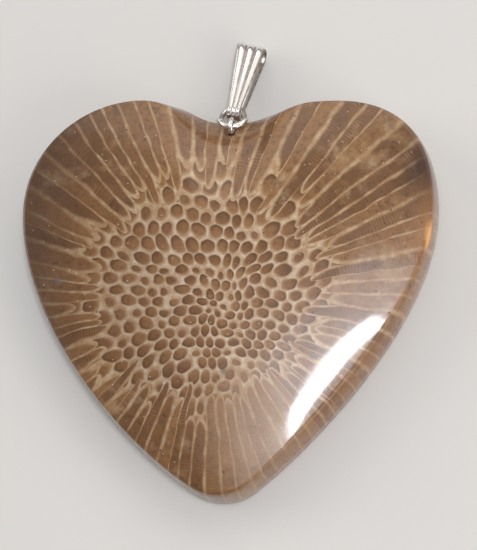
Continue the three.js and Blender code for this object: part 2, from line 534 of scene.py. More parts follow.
def polish_marks_group() -> bpy.types.NodeTree:
    """The fine scratches that a polishing wheel and wear leave, for the stone and the silver.

    Returns:
        The group. Its Height is in millimetres and its Haze is 1 where scratches crowd.
    """
    takes = {"Place": None, "Depth": 0.001, "Closeness": 6.0}
    group, bench, take, give = new_group("Polish marks", takes, ("Height", "Haze"))
    scratch_headings = (0.35, 1.25, 2.3)
    drawn_out = (1.0, 0.06, 1.0)
    waves = -0.5 * len(scratch_headings)
    for heading in scratch_headings:
        turn = {"Vector": take["Place"], "Angle": heading}
        turned = bench.add("VectorRotate", turn, rotation_type="Z_AXIS")[0]
        lines = bench.vector("MULTIPLY", turned, drawn_out)
        waves = bench.plus(waves, bench.noise(lines, take["Closeness"], 3.0, 0.6))
    haze = Mottle(0.35, 3.0, 0.6, 0.4, 0.72).mask(bench, take["Place"])
    bench.feed(give, {"Height": bench.times(waves, take["Depth"]), "Haze": haze})
    return group


CELL_VALUES = ("Open", "Edge", "Tone", "Along", "Corner")


def short_corallites_group() -> bpy.types.NodeTree:
    """The short corallites round the colony's axis, as cells with walls.

    The cells sit six round one, on a net of two interlaced grids.

    Returns:
        The group. Reach counts cells out from the axis. Open is 1 inside a cell and 0 in its
        wall, Edge runs from 0 at its middle to 1 at its wall, Tone is a number of its own,
        Along runs out through it and Corner grows where walls meet.
    """
    takes = {"Heading": None, "Reach": 1.0, "Shift": None, "Fill": 0.8, "Softness": 0.1}
    takes |= {"Roundness": 0.5, "Unevenness": 0.2}
    group, bench, take, give = new_group("Short corallites", takes, CELL_VALUES)
    where = bench.vector("ADD", bench.scaled(take["Heading"], take["Reach"]), take["Shift"])
    sways = ((0.2, 1.5), (0.55, 0.55))
    for closeness, amount in sways:
        where = bench.vector("ADD", where, bench.sway(where, closeness, (amount, amount, 0.0)))

    net = (1.0, math.sqrt(3.0), 1.0)
    half_net = (0.5, math.sqrt(0.75), 0.5)
    from_seeds = []
    for start in (Vector(), half_net):
        wrapped = bench.vector("WRAP", bench.vector("SUBTRACT", where, start), net, Vector())
        from_seeds.append(bench.vector("MULTIPLY", bench.vector("SUBTRACT", wrapped, half_net), LEVEL))
    sizes = [bench.length(from_seed) for from_seed in from_seeds]
    from_seed = bench.pick(bench.math("LESS_THAN", sizes[1], sizes[0]), *from_seeds)
    seed = bench.vector("SUBTRACT", where, from_seed)
    number = bench.vector("MULTIPLY", seed, (2.0, 2.0 / math.sqrt(3.0), 0.0))
    number = bench.vector("FLOOR", bench.vector("ADD", number, HALVES))
    chance = bench.add("TexWhiteNoise", {"Vector": number}, noise_dimensions="2D")["Color"]
    tone, chance_size, _ = bench.channels(chance)

    offset = bench.scaled(bench.vector("SUBTRACT", chance, HALVES), take["Unevenness"])
    inside = bench.vector("SUBTRACT", from_seed, bench.vector("MULTIPLY", offset, LEVEL))
    by_circle = bench.times(bench.length(inside), 2.0)
    folded = bench.vector("ABSOLUTE", inside)
    by_wall = bench.math("MAXIMUM", bench.parts(folded)["X"], bench.dot(folded, half_net))
    edge = bench.choose(take["Roundness"], bench.times(by_wall, 2.0), by_circle)
    along = bench.dot(inside, take["Heading"])

    smallest, crispest, softest = 0.68, 0.7, 2.4
    size = bench.times(take["Fill"], bench.step(chance_size, 0.0, 0.45, smallest, 1.0))
    softness = bench.times(take["Softness"], bench.step(along, 0.3, -0.45, crispest, softest))
    opened = bench.within(edge, size, softness)
    corner = bench.math("MINIMUM", *sizes)
    bench.feed(give, {"Open": opened, "Edge": edge, "Tone": tone, "Along": along, "Corner": corner})
    return group


def long_corallites_group() -> bpy.types.NodeTree:
    """The long corallites that run out to the rim, as rays round the colony's axis.

    Returns:
        The group. Heading points away from the axis, Out is the distance from it and Run the
        run along the cut. Count rays go round, and each starts at its own run, Stagger or less
        from Start, with a tapered end. Its outputs are those of the short ones, and Short,
        which is 1 where no ray has started. The seam is where the count starts and ends.
    """
    takes = {"Heading": None, "Out": 1.0, "Run": 1.0, "Count": 60.0, "Start": 15.0}
    takes |= {"Stagger": 2.0, "Fill": 0.8, "Softness": 0.1, "Unevenness": 0.8}
    group, bench, take, give = new_group("Long corallites", takes, CELL_VALUES + ("Short",))
    seam = -40.0
    ahead = bench.dot(take["Heading"], -toward(seam))
    aside = bench.dot(take["Heading"], -toward(seam + 90.0))
    turn = bench.over(bench.math("ARCTAN2", aside, ahead), FULL_TURN)
    spokes = {"W": bench.times(turn, take["Count"]), "Scale": 1.0, "Randomness": take["Unevenness"]}
    ray = bench.add("TexVoronoi", spokes, voronoi_dimensions="1D", feature="F1")
    wall = bench.add("TexVoronoi", spokes, voronoi_dimensions="1D", feature="DISTANCE_TO_EDGE")
    to_seam = bench.times(take["Count"], bench.minus(0.5, bench.math("ABSOLUTE", turn)))
    to_wall = bench.math("MINIMUM", wall["Distance"], to_seam)
    half = bench.plus(ray["Distance"], to_wall)
    sideways = bench.over(ray["Distance"], half)

    tone, chance_start, _ = bench.channels(ray["Color"])
    start = bench.times(bench.times(chance_start, 2.0, -1.0), take["Stagger"], take["Start"])
    past_start = bench.minus(take["Run"], start)
    taper, wall_past_end = 2.6, 1.08
    half_width = bench.times(half, bench.over(bench.times(take["Out"], FULL_TURN), take["Count"]))
    end = bench.minus(1.0, bench.over(past_start, bench.times(half_width, taper)))
    end = bench.math("MAXIMUM", end, 0.0)
    edge = bench.math("SQRT", bench.times(end, end, bench.times(sideways, sideways)))

    patches = bench.noise(bench.scaled(take["Heading"], take["Out"]), 0.35)
    fill = bench.plus(take["Fill"], bench.step(past_start, -0.5, 6.0, -0.13, 0.06))
    fill = bench.plus(fill, bench.step(patches, 0.3, 0.75, -0.07, 0.1))
    wedge_share = 0.6
    wedge = bench.times(bench.times(end, sideways), wedge_share)
    values = {
        "Open": bench.within(edge, fill, take["Softness"]),
        "Edge": edge,
        "Tone": tone,
        "Along": bench.step(past_start, 3.0, -0.5, 0.0, -0.5),
        "Corner": bench.math("MAXIMUM", wedge, bench.step(past_start, 8.0, 0.5, 0.42, 0.47)),
        "Short": bench.math("GREATER_THAN", edge, wall_past_end),
    }
    bench.feed(give, values)
    return group


# ---- finishes ----


@dataclass(frozen=True)
class ShortCorallites:
    """The short corallites round the colony's axis.

    Attributes:
        pitch: Their spacing at the axis, in millimetres.
        growth: How much the spacing grows with each millimetre of run along the cut.
        fill: How much of the way from its middle to its edge a cell fills, from 0 to 1.
        softness: Half the width of a wall's soft edge, in the same share.
        roundness: How near a cell comes to an ellipse, from 0 to 1.
        unevenness: How irregular the cells are, from 0 to 1.
        shift: Where in the endless pattern of cells they are cut from.
    """

    pitch: float = 1.22
    growth: float = 0.037
    fill: float = 0.85
    softness: float = 0.14
    roundness: float = 0.76
    unevenness: float = 0.18
    shift: Triple = (20.3, 11.7, 0.0)


@dataclass(frozen=True)
class LongCorallites:
    """The long corallites that run out to the rim.

    Attributes:
        count: How many go round the axis.
        start: Where they start, in millimetres along the cut.
        stagger: How far from there one may start.
        fill: How much of the way from its middle to its edge a ray fills, from 0 to 1.
        softness: Half the width of a wall's soft edge, in the same share.
        unevenness: How far the rays leave an even spacing, from 0 to 1.
    """

    count: float = 80.0
    start: float = 13.4
    stagger: float = 2.6
    fill: float = 0.8
    softness: float = 0.2
    unevenness: float = 0.85


@dataclass(frozen=True)
class CoralFinish:
    """Polished Favosites: round brown corallites with cream walls, drawn out into rays.

    The corallites fan out from the colony's axis, so that a cut across them shows dots over the
    axis and long bars towards the rim, and the same fan runs down the sides of the stone.

    Attributes:
        axis: Where the colony's axis stands, in millimetres.
        sways: How close and how strong the waves are that bend the fan.
        dome_foot: The height of the dome's foot, in millimetres.
        lean_at_axis: How much a millimetre of depth adds to the run along the cut, at the axis.
        lean_growth: How fast that grows on the way out.
        most_lean: The most that it comes to.
        longest_heading: The heading in which the corallites are longest, in degrees.
        longest_spread: How much longer they are there, as a share.
        short: The short corallites round the axis.
        long: The long ones that run out to the rim.
        uneven_fill: What the fill of the cells is multiplied by, from most to least.
        brown: The darker of the short cells.
        light_brown: The lightest cells, and their grain.
        dark_brown: The mottling and shading in the cells.
        cream: The palest walls.
        tan: The darkest walls.
        umber: The blotches, the pits and the dark corner.
        sand: The pale patch above the tip.
        shadow: The painted shade on the left side.
        painted_warm_light: The painted warm light on the lit side of the bevel, and at the right rim.
        painted_highlight_amber: The middle of the painted highlight at the right rim.
        slate: The stains.
        honey: What the outer parts are multiplied by, to warm them.
        sparkle: The colour of the painted glints.
        mottle: Dark patches in all the cells.
        blotch: Darker patches in the long cells.
        grain: Fine light patches in all the cells.
        pale_wall: Where the walls are pale.
        cloud: Where the walls spread over the long cells.
        floored: Where the long cells show their floors.
        floor_spacing: The spacing of the floors, in millimetres.
        floor_wobble: How far the floors stray from even rounds.
        sandy: Where it is sandy.
        painted_shade_left: Where shade is painted on the left side, away from the light.
        painted_shade_left_rim: Where the painted shade is deeper still, at the left rim.
        dark_corner: Where the upper right rim is dark.
        bevel: The bevel, all round.
        low_right: The lit side, on which warm light is painted on the bevel.
        painted_rim_highlight: Where a warm highlight is painted at the right rim.
        painted_rim_highlight_core: Where that painted highlight is brightest.
        pits: The pits in the polish.
        glints: The painted glints, as bright specks.
        stains: The place across and up and the radius of each stain.
        stain_height: How high the stains lie, in millimetres.
        stain_core: How far out a stain stays at full strength, as a share of its radius.
        stain_strength: How strong the stains are.
        stain_squash: What distances along X, Y and Z count for in them.
        frost: The frosted patches in the polish.
        frost_height: How high they stand, in millimetres.
        scratch_depth: How deep the scratches are, in millimetres.
        scratch_closeness: How many there are to a millimetre.
        cell_sink: How far the cells are worn below the walls, in millimetres.
        pit_depth: How deep the pits are, in millimetres.
        clear_roughness: The roughness of the clear polish.
        hazy_roughness: Its roughness where scratches crowd.
        frost_roughness: How much rougher the frosted patches are.
        pit_roughness: How much rougher the pits are.
        refraction: The index of refraction.
        coat: How strong the clear coat is.
        coat_roughness: The roughness of the coat.
    """

    axis: Triple = (-1.0, -1.3, 0.0)
    sways: tuple[tuple[float, float], ...] = ((0.16, 1.0), (0.6, 0.25))
    dome_foot: float = 5.8
    lean_at_axis: float = 0.092
    lean_growth: float = 0.189
    most_lean: float = 3.0
    longest_heading: float = 130.0
    longest_spread: float = 0.13
    short: ShortCorallites = ShortCorallites()
    long: LongCorallites = LongCorallites()
    uneven_fill: tuple[float, float] = (1.1, 0.9)

    brown: Colour = srgb(130, 91, 58)
    light_brown: Colour = srgb(151, 110, 72)
    dark_brown: Colour = srgb(98, 66, 42)
    cream: Colour = srgb(214, 193, 168)
    tan: Colour = srgb(172, 138, 104)
    umber: Colour = srgb(66, 42, 29)
    sand: Colour = srgb(176, 144, 116)
    shadow: Colour = srgb(74, 52, 38)
    painted_warm_light: Colour = srgb(158, 106, 58)
    painted_highlight_amber: Colour = srgb(244, 176, 100)
    slate: Colour = srgb(98, 98, 100)
    honey: Colour = srgb(253, 248, 232)
    sparkle: Colour = srgb(235, 215, 195)

    mottle: Mottle = Mottle(1.8, 4.0, 0.7, 0.42, 0.66, 0.6)
    blotch: Mottle = Mottle(0.75, 4.0, 0.7, 0.55, 0.68, 0.6)
    grain: Mottle = Mottle(5.5, 3.0, 0.7, 0.5, 0.7, 0.35)
    pale_wall: Mottle = Mottle(0.9, 3.0, 0.6, 0.35, 0.7, 0.6)
    cloud: Mottle = Mottle(0.24, 5.0, 0.66, 0.52, 0.7, 0.6)
    floored: Mottle = Mottle(0.3, 2.0, 0.5, 0.48, 0.62)
    floor_spacing: float = 0.36
    floor_wobble: float = 0.8

    sandy: Patch = Patch((4.0, -16.0, 6.0), 9.0, 2.0, 0.45)
    painted_shade_left: Fade = Fade((1.0, 0.3, 0.0), 4.0, -14.0, 0.25)
    painted_shade_left_rim: Fade = Fade((1.0, 0.0, 0.0), -14.0, -24.5, 0.78)
    dark_corner: Patch = Patch((25.4, 14.2, 5.0), 8.0, 3.0, 0.95, ragged=3.0)
    bevel: Fade = Fade((0.0, 0.0, 1.0), 5.9, 5.4, 0.22)
    low_right: Fade = Fade((1.0, -0.6, 0.0), -2.0, 10.0)
    painted_rim_highlight: Patch = Patch((24.2, 6.2, 5.4), 2.6, 0.4, 0.6, (1.0, 0.27, 1.0))
    painted_rim_highlight_core: Patch = Patch((24.2, 6.2, 5.4), 0.8, 0.2, 0.9, (1.0, 0.27, 1.0))
    pits: Specks = Specks(0.75, 0.7, 0.14, 0.75)
    glints: Specks = Specks(1.0, 0.35, 0.09, 0.7)
    stains: tuple[Triple, ...] = ((-19.6, 1.1, 0.6), (19.9, 19.4, 0.5), (0.85, -9.95, 0.5), (11.1, -8.0, 0.6))
    stain_height: float = 7.0
    stain_core: float = 0.3
    stain_strength: float = 0.7
    stain_squash: Triple = (1.0, 1.0, 0.2)

    frost: Mottle = Mottle(3.6, 4.0, 0.8, 0.4, 0.62)
    frost_height: float = 0.005
    scratch_depth: float = 0.002
    scratch_closeness: float = 5.0
    cell_sink: float = 0.002
    pit_depth: float = 0.02
    clear_roughness: float = 0.2
    hazy_roughness: float = 0.3
    frost_roughness: float = 0.05
    pit_roughness: float = 0.3
    refraction: float = 1.46
    coat: float = 0.5
    coat_roughness: float = 0.07

    def material(
        self, marks: bpy.types.NodeTree, short: bpy.types.NodeTree, long: bpy.types.NodeTree
    ) -> bpy.types.Material:
        """Builds the finish.

        Args:
            marks: The group of polish marks.
            short: The group that draws the short corallites.
            long: The group that draws the long ones.

        Returns:
            The material.
        """
        material, bench, shader = new_material("polished_coral")
        place = bench.millimetres()
        heading, run, out = self._fan(bench, place)
        thinning = bench.choose(bench.noise(place, 0.45), *self.uneven_fill)
        rays = bench.add("Group", self._long_values(bench, heading, run, out, thinning), node_tree=long)
        dots = bench.add("Group", self._short_values(bench, heading, run, thinning), node_tree=short)
        cells = {name: bench.choose(rays["Short"], rays[name], dots[name]) for name in CELL_VALUES}
        cells["Long"] = bench.minus(1.0, rays["Short"])

        fill = self._fill(bench, place, out, cells)
        wall = self._wall(bench, place, out, cells)
        veil = bench.times(self.cloud.mask(bench, place), cells["Long"])
        colour = bench.blend(cells["Open"], wall, bench.blend(veil, fill, wall))
        colour = bench.blend(bench.step(out, 9.0, 17.0), colour, self.honey, "MULTIPLY")
        pits = self.pits.mask(bench, place)
        colour = self._regions(bench, place, colour, pits)

        frost = self.frost.mask(bench, place)
        scratches = {"Place": place, "Depth": self.scratch_depth, "Closeness": self.scratch_closeness}
        polish = bench.add("Group", scratches, node_tree=marks)
        relief = bench.times(frost, self.frost_height, polish["Height"])
        relief = bench.times(cells["Open"], -self.cell_sink, relief)
        relief = bench.times(pits, -self.pit_depth, relief)
        rough = bench.choose(polish["Haze"], self.clear_roughness, self.hazy_roughness)
        rough = bench.times(frost, self.frost_roughness, rough)
        rough = bench.times(pits, self.pit_roughness, rough)
        look = {"Base Color": colour, "Roughness": rough, "Normal": bench.bump(relief)}
        look |= {"IOR": self.refraction, "Coat Weight": self.coat, "Coat Roughness": self.coat_roughness}
        bench.feed(shader, look)
        return material

    def _fan(self, bench: Bench, place: Socket) -> tuple[Socket, Socket, Socket]:
        """How far out in the colony's fan each point of the surface lies.

        Args:
            bench: The material's bench.
            place: The place on the stone in millimetres.

        Returns:
            The heading away from the axis, the run along the cut that the fan makes of the
            place, and the plain distance from the axis.
        """
        moved = place
        for closeness, amount in self.sways:
            moved = bench.vector("ADD", moved, bench.sway(place, closeness, (amount,) * 3))
        level = bench.vector("MULTIPLY", bench.vector("SUBTRACT", moved, self.axis), LEVEL)
        out = bench.length(level)
        heading = bench.vector("NORMALIZE", level)

        depth = bench.math("MAXIMUM", bench.minus(self.dome_foot, bench.parts(place)["Z"]), 0.0)
        grown = bench.math("EXPONENT", bench.times(out, self.lean_growth))
        lean = bench.math("MINIMUM", bench.times(grown, self.lean_at_axis), self.most_lean)
        run = bench.times(depth, lean, out)
        longest = bench.dot(heading, toward(self.longest_heading))
        return heading, bench.over(run, bench.times(longest, self.longest_spread, 1.0)), out

    def _short_values(self, bench: Bench, heading: Socket, run: Socket, thinning: Socket) -> dict:
        """What the group of short corallites gets.

        Args:
            bench: The material's bench.
            heading: The heading away from the axis.
            run: The run along the cut.
            thinning: How much more or less of each cell is filled.

        Returns:
            A value for each of its inputs.
        """
        spacing = bench.times(run, self.short.growth, self.short.pitch)
        return {
            "Heading": heading,
            "Reach": bench.over(run, spacing),
            "Shift": self.short.shift,
            "Fill": bench.times(thinning, self.short.fill),
            "Softness": self.short.softness,
            "Roundness": self.short.roundness,
            "Unevenness": self.short.unevenness,
        }

    def _long_values(
        self, bench: Bench, heading: Socket, run: Socket, out: Socket, thinning: Socket
    ) -> dict:
        """What the group of long corallites gets.

        Args:
            bench: The material's bench.
            heading: The heading away from the axis.
            run: The run along the cut.
            out: The plain distance from the axis.
            thinning: How much more or less of each cell is filled.

        Returns:
            A value for each of its inputs.
        """
        return {
            "Heading": heading,
            "Out": out,
            "Run": run,
            "Count": self.long.count,
            "Start": self.long.start,
            "Stagger": self.long.stagger,
            "Fill": bench.times(thinning, self.long.fill),
            "Softness": self.long.softness,
            "Unevenness": self.long.unevenness,
        }

    def _fill(self, bench: Bench, place: Socket, out: Socket, cells: dict[str, Socket]) -> Socket:
        """The brown of the cells: mottled, lighter at the inner end and shaded at the outer.

        Args:
            bench: The material's bench.
            place: The place on the stone in millimetres.
            out: The plain distance from the axis.
            cells: What the two groups say of the cells.

        Returns:
            The colour.
        """
        long = cells["Long"]
        deep = bench.blend(bench.times(long, 0.5), self.brown, self.dark_brown)
        fill = bench.blend(bench.step(cells["Tone"], 0.1, 0.9), deep, self.light_brown)
        outer_end = bench.step(cells["Along"], -0.2, 0.35)
        near_wall = bench.step(cells["Edge"], 0.3, 0.8, 0.25, 0.9)
        shade = bench.times(bench.times(outer_end, near_wall), bench.choose(long, 1.0, 0.5))
        layers = (
            (self.mottle.mask(bench, place), self.dark_brown),
            (bench.times(self.blotch.mask(bench, place), long), self.umber),
            (self.grain.mask(bench, place), self.light_brown),
            (bench.step(cells["Along"], 0.1, -0.5, 0.0, 0.4), self.light_brown),
            (shade, self.dark_brown),
            (bench.times(self._floors(bench, place, out), long), self.light_brown),
        )
        for mask, tint in layers:
            fill = bench.blend(mask, fill, tint)
        return fill

    def _floors(self, bench: Bench, place: Socket, out: Socket) -> Socket:
        """The fine crosswise floors that divide a long corallite.

        Args:
            bench: The material's bench.
            place: The place on the stone in millimetres.
            out: The plain distance from the axis.

        Returns:
            A mask of the floors.
        """
        wobbled = bench.times(bench.noise(place, 0.5), self.floor_wobble, out)
        wave = bench.math("SINE", bench.times(wobbled, FULL_TURN / self.floor_spacing))
        return bench.times(bench.step(wave, 0.0, 0.9, 0.0, 0.65), self.floored.mask(bench, place))

    def _wall(self, bench: Bench, place: Socket, out: Socket, cells: dict[str, Socket]) -> Socket:
        """The tan to cream of the walls, paler where walls meet and near the axis.

        Args:
            bench: The material's bench.
            place: The place on the stone in millimetres.
            out: The plain distance from the axis.
            cells: What the two groups say of the cells.

        Returns:
            The colour.
        """
        pale = bench.plus(self.pale_wall.mask(bench, place), -0.1)
        pale = bench.plus(pale, bench.step(cells["Corner"], 0.42, 0.56, 0.0, 0.4))
        pale = bench.plus(pale, bench.step(out, 15.0, 5.0, 0.0, 0.15))
        return bench.blend(pale, self.tan, self.cream)

    def _regions(self, bench: Bench, place: Socket, colour: Socket, pits: Socket) -> Socket:
        """What lies over the pattern: slow changes of colour, painted shade and light, pits and stains.

        Args:
            bench: The material's bench.
            place: The place on the stone in millimetres.
            colour: The colour so far.
            pits: The mask of the pits.

        Returns:
            The colour, sandier above the tip, with painted shade to the left, dark at the upper right
            rim, with painted warm light on the lit lower right bevel and a painted highlight below
            the dark corner, with painted glints, and blemished.
        """
        layers = [
            (self.sandy.mask(bench, place), self.sand),
            # Painted shade: the left side and its rim darken away from the light.
            (self.painted_shade_left.mask(bench, place), self.shadow),
            (self.painted_shade_left_rim.mask(bench, place), self.shadow),
            (self.dark_corner.mask(bench, place), self.umber),
            # Painted light: warm light on the lit lower right side of the bevel.
            (bench.times(self.bevel.mask(bench, place), self.low_right.mask(bench, place)), self.painted_warm_light),
            # Painted highlight: a warm reflection on the bevel at the right rim.
            (self.painted_rim_highlight.mask(bench, place), self.painted_warm_light),
            (self.painted_rim_highlight_core.mask(bench, place), self.painted_highlight_amber),
            (bench.times(pits, self.pits.strength), self.umber),
            # Painted glints: small bright specks of sparkle.
            (bench.times(self.glints.mask(bench, place), self.glints.strength), self.sparkle),
        ]
        for x, y, radius in self.stains:
            middle = (x, y, self.stain_height)
            core = radius * self.stain_core
            stain = Patch(middle, radius, core, self.stain_strength, self.stain_squash)
            layers.append((stain.mask(bench, place), self.slate))
        for mask, tint in layers:
            colour = bench.blend(mask, colour, tint)
        return colour


@dataclass(frozen=True)
class SilverFinish:
    """Polished silver, scratched by wear and dull in its grooves.

    Attributes:
        bright: The polished silver.
        tarnish: The dull silver in the grooves.
        stain: Where the grooves are dullest.
        least_stain: How dull they are everywhere.
        roughness: The roughness of the polished silver.
        haze_roughness: How much rougher it is where scratches crowd.
        groove_roughness: How much rougher it is in the grooves.
        scratch_depth: How deep the scratches are, in millimetres.
        scratch_closeness: How many there are to a millimetre.
    """

    bright: Colour = srgb(244, 240, 238)
    tarnish: Colour = srgb(150, 138, 124)
    stain: Mottle = Mottle(2.2, 3.0, 0.6, 0.2, 0.6, 0.5)
    least_stain: float = 0.5
    roughness: float = 0.24
    haze_roughness: float = 0.12
    groove_roughness: float = 0.2
    scratch_depth: float = 0.0012
    scratch_closeness: float = 9.0

    def material(self, marks: bpy.types.NodeTree) -> bpy.types.Material:
        """Builds the finish.

        Args:
            marks: The group of polish marks.

        Returns:
            The material.
        """
        material, bench, shader = new_material("silver")
        place = bench.millimetres()
        scratches = {"Place": place, "Depth": self.scratch_depth, "Closeness": self.scratch_closeness}
        polish = bench.add("Group", scratches, node_tree=marks)
        groove = bench.add("Attribute", attribute_name="groove")["Fac"]
        dull = bench.times(groove, bench.plus(self.stain.mask(bench, place), self.least_stain))
        rough = bench.times(polish["Haze"], self.haze_roughness, self.roughness)
        rough = bench.times(dull, self.groove_roughness, rough)
        colour = bench.blend(dull, self.bright, self.tarnish)
        normal = bench.bump(polish["Height"])
        bench.feed(shader, {"Base Color": colour, "Metallic": 1.0, "Roughness": rough, "Normal": normal})
        return material


@dataclass(frozen=True)
class FloorFinish:
    """A plain pale card.

    Attributes:
        pale: Its darker tone.
        paler: Its lighter tone.
        roughness: Its roughness.
    """

    pale: Colour = srgb(214, 212, 208)
    paler: Colour = srgb(222, 220, 216)
    roughness: float = 0.75

    def material(self) -> bpy.types.Material:
        """Builds the finish.

        Returns:
            The material.
        """
        material, bench, shader = new_material("pale_card")
        cloud = bench.noise(bench.millimetres(), 0.02)
        colour = bench.blend(cloud, self.pale, self.paler)
        bench.feed(shader, {"Base Color": colour, "Roughness": self.roughness})
        return material


# ---- the pieces ----


@dataclass
class Piece:
    """A piece of the pendant.

    Attributes:
        shape: Its mesh object, once it is built.
    """

    shape: Optional[bpy.types.Object] = field(default=None, kw_only=True)

    def dress(self, finish: bpy.types.Material) -> None:
        """Gives the piece its finish."""
        self.shape.data.materials.append(finish)

    def report(self) -> None:
        """Logs the piece's size."""
        size = [side / MM for side in self.shape.dimensions]
        log.info("%s: %.1f x %.1f x %.1f mm, %d faces", self.shape.name, *size, len(self.shape.data.polygons))


@dataclass(frozen=True)
class HeartHalf:
    """One half of the heart's outline, from the tip up to the notch, in millimetres.

    Attributes:
        side: 1 for the right half and -1 for the left.
        notch_handle: How far the curve leaves the notch level.
        lobe_inner_handle: The pull of the lobe's top towards the notch.
        lobe_top: The top of the lobe, measured outwards and up.
        lobe_outer_handle: The pull of the lobe's top outwards.
        widest_upper_handle: The pull of the widest point upwards.
        widest_y: How far up the heart is widest.
        widest_lower_handle: The pull of the widest point downwards.
        flank_handle: The pull of the straight flank above the tip.
        tip_turn: How far the round tip turns on this side, in degrees.
    """

    side: int
    notch_handle: float
    lobe_inner_handle: float
    lobe_top: tuple[float, float]
    lobe_outer_handle: float
    widest_upper_handle: float
    widest_y: float
    widest_lower_handle: float
    flank_handle: float
    tip_turn: float


@dataclass(frozen=True)
class HeartOutline:
    """The heart seen from above, ground by hand, so that its halves differ a little.

    Attributes:
        notch_y: Where the notch is along Y, in millimetres.
        widest_x: How far out the heart is widest.
        tip_x: How far to the right the middle of the round tip lies.
        tip_y: Where the tip is along Y.
        tip_radius: The radius of the tip.
        right: The right half.
        left: The left half.
        tip_steps: How many points each side of the tip is drawn with.
        curve_steps: How many points each curve is drawn with.
    """

    notch_y: float = 21.35
    widest_x: float = 25.08
    tip_x: float = 0.23
    tip_y: float = -24.46
    tip_radius: float = 6.08
    right: HeartHalf = HeartHalf(
        side=1,
        notch_handle=5.19,
        lobe_inner_handle=8.49,
        lobe_top=(12.84, 23.48),
        lobe_outer_handle=7.79,
        widest_upper_handle=8.32,
        widest_y=10.57,
        widest_lower_handle=13.6,
        flank_handle=7.49,
        tip_turn=38.4,
    )
    left: HeartHalf = HeartHalf(
        side=-1,
        notch_handle=4.98,
        lobe_inner_handle=6.35,
        lobe_top=(10.67, 24.08),
        lobe_outer_handle=7.82,
        widest_upper_handle=7.62,
        widest_y=10.24,
        widest_lower_handle=13.45,
        flank_handle=10.66,
        tip_turn=30.4,
    )
    tip_steps: int = 60
    curve_steps: int = 240

    def points(self, per_side: int) -> np.ndarray:
        """Evenly spaced points round the heart, counter-clockwise from the tip.

        Args:
            per_side: How many steps each half has.

        Returns:
            One row of x and y for each point.
        """
        right = self._half(self.right, per_side)
        left = self._half(self.left, per_side)[::-1]
        return np.vstack([right, left[1:-1]])

    def _half(self, half: HeartHalf, steps: int) -> np.ndarray:
        """Evenly spaced points up one half, from the tip to the notch.

        Args:
            half: The half.
            steps: How many steps it has.

        Returns:
            One row of x and y for each point.
        """
        turn = math.radians(half.tip_turn)
        sweep = np.linspace(0.0, turn, self.tip_steps)
        centre = np.array([half.side * self.tip_x, self.tip_y + self.tip_radius])
        tip = centre + self.tip_radius * np.stack([np.sin(sweep), -np.cos(sweep)], 1)
        pull = np.array([math.cos(turn), math.sin(turn)]) * half.flank_handle
        widest = np.array([self.widest_x, half.widest_y])
        lobe = np.array(half.lobe_top)
        notch = np.array([0.0, self.notch_y])
        corners = (
            (tip[-1], tip[-1] + pull, widest - (0.0, half.widest_lower_handle), widest),
            (widest, widest + (0.0, half.widest_upper_handle), lobe + (half.lobe_outer_handle, 0.0), lobe),
            (lobe, lobe - (half.lobe_inner_handle, 0.0), notch + (half.notch_handle, 0.0), notch),
        )
        path = np.vstack([tip] + [self._curve(*four)[1:] for four in corners])
        lengths = np.concatenate([[0.0], np.cumsum(np.linalg.norm(np.diff(path, axis=0), axis=1))])
        even = np.linspace(0.0, lengths[-1], steps + 1)
        spaced = np.stack([np.interp(even, lengths, path[:, i]) for i in (0, 1)], 1)
        return spaced * (half.side, 1.0)

    def _curve(self, start: np.ndarray, first: np.ndarray, second: np.ndarray, end: np.ndarray) -> np.ndarray:
        """Points along a cubic Bezier curve, from its start by its two handles to its end."""
        t = np.linspace(0.0, 1.0, self.curve_steps)[:, None]
        return (1 - t) ** 3 * start + 3 * (1 - t) ** 2 * t * first + 3 * (1 - t) * t**2 * second + t**3 * end


@dataclass(frozen=True)
class Zone:
    """A stretch of the rim that is ground differently.

    Attributes:
        angle: Its middle, as a heading from the stone's middle in degrees.
        reach: How far it reaches to each side, in degrees.
    """

    angle: float
    reach: float

    def nearness(self, headings: np.ndarray) -> np.ndarray:
        """How near each heading is to the zone's middle.

        Args:
            headings: The headings in radians.

        Returns:
            1 at the zone's middle, falling smoothly to 0 at its reach.
        """
        away = np.abs(np.angle(np.exp(1j * (headings - math.radians(self.angle)))))
        reach = math.radians(self.reach)
        return np.where(away < reach, (1.0 + np.cos(math.pi * away / reach)) / 2.0, 0.0)


